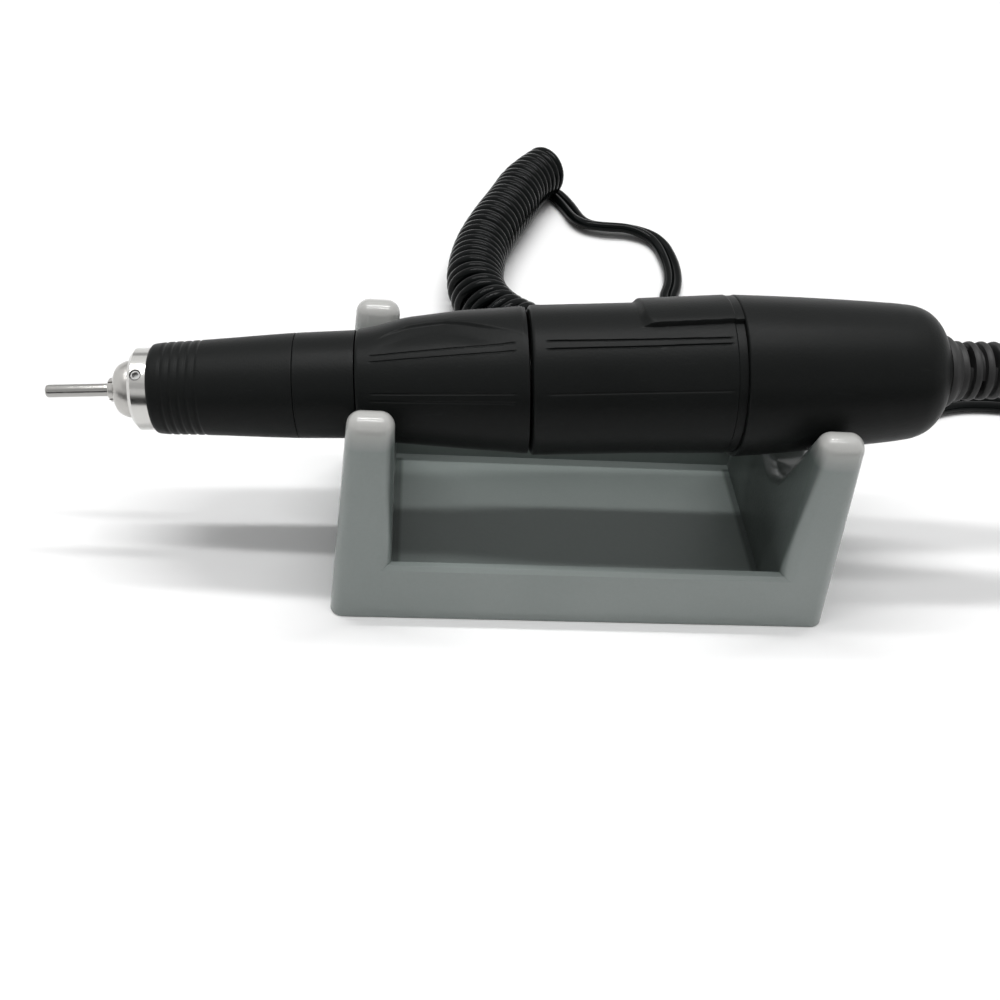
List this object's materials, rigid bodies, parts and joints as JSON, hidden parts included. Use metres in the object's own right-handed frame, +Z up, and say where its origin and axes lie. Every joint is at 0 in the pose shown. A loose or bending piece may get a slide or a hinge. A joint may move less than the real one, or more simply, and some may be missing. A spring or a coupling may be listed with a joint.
{
  "type": "electric nail drill",
  "caption": "Rotary nail file handpiece with a twist-lock collet and motor, lying in a notched cradle, with a curly cord that ends in a round plug.",
  "frame": {"origin": "centre of the cradle's base, on the table", "axes": "+Z up; +X along the handpiece from its nose towards its cord, which rises 4.5 degrees; +Y to the back, where the curly cord lies"},
  "size_m": [0.2502, 0.1795, 0.0582],
  "materials": {
    "black_plastic": "fine satin moulding",
    "grey_plastic": "satin, warm grey-green",
    "black_rubber": "smooth",
    "polished_steel": "polished",
    "steel": "ground",
    "white_plastic": "natural acetal",
    "magnet": "ferrite",
    "carbon": "sintered carbon",
    "copper": "enamelled and bare copper",
    "brass": "plain",
    "red_wire": "insulation"
  },
  "bodies": {
    "cradle": {"cradle": "grey_plastic", "cord_lead": "black_rubber", "curly_cord": "black_rubber", "cord_tail": "black_rubber", "plug_boot": "black_rubber", "plug_grip": "black_plastic", "plug_shell": "polished_steel", "plug_insert": "white_plastic", "plug_contacts": "brass"},
    "handpiece": {"nose_ring": "polished_steel", "grub_screws": "steel", "nose_cone": "polished_steel", "spindle_bearing_outers": "steel", "bearing_spacer": "steel", "front_retainer": "steel", "rear_retainer": "steel", "barrel": "steel", "flange_screws": "steel", "front_sleeve": "black_plastic", "sleeve_base": "black_plastic", "motor_housing": "black_plastic", "rear_cap": "black_plastic", "strain_relief": "black_rubber", "cord_ferrule": "steel", "cord_end": "black_rubber", "motor_can": "steel", "field_magnets": "magnet", "motor_bearing_outers": "steel", "brush_holder": "white_plastic", "carbon_brushes": "carbon", "brush_springs": "steel", "terminals": "brass", "lead_wires": "red_wire"},
    "collar": {"twist_collar": "black_plastic", "cam_sleeve": "white_plastic"},
    "push_sleeve": {"push_sleeve": "steel", "cam_pins": "steel"},
    "spindle": {"spindle": "steel", "spindle_dog": "steel", "motor_dog": "white_plastic", "spindle_bearing_inners": "steel", "spring_stop": "steel", "draw_spring": "steel", "rotor_shaft": "steel", "rotor_core": "steel", "rotor_windings": "copper", "commutator": "copper", "motor_bearing_inners": "steel"},
    "collet": {"collet": "polished_steel", "draw_bar": "steel", "draw_pin": "steel", "release_ring": "steel"},
    "test_pin": {"test_pin": "polished_steel"}
  },
  "joints": [
    {"name": "handpiece_lift", "type": "slide", "parent": "cradle", "child": "handpiece", "axis": [-0.0786, 0, 0.9969], "range_m": [0, 0.06]},
    {"name": "collar_twist", "type": "hinge", "parent": "handpiece", "child": "collar", "pos_m": [0, 0, 0.0409], "axis": [0.9969, 0, 0.0786], "range_deg": [0, 90]},
    {"name": "chuck_push", "type": "slide", "parent": "handpiece", "child": "push_sleeve", "axis": [-0.9969, 0, -0.0786], "range_m": [0, 0.00125]},
    {"name": "spindle_spin", "type": "hinge", "parent": "handpiece", "child": "spindle", "pos_m": [0, 0, 0.0409], "axis": [0.9969, 0, 0.0786], "continuous": true},
    {"name": "collet_slide", "type": "slide", "parent": "spindle", "child": "collet", "axis": [-0.9969, 0, -0.0786], "range_m": [0, 0.001], "deforming": ["draw_spring"]},
    {"name": "pin_slide", "type": "slide", "parent": "collet", "child": "test_pin", "axis": [-0.9969, 0, -0.0786], "range_m": [0, 0.04]}
  ],
  "couplings": [
    {"joint": "chuck_push", "follows": "collar_twist", "m_per_rad": 0.000795},
    {"joint": "collet_slide", "follows": "collar_twist", "m_per_rad": 0.000636}
  ]
}
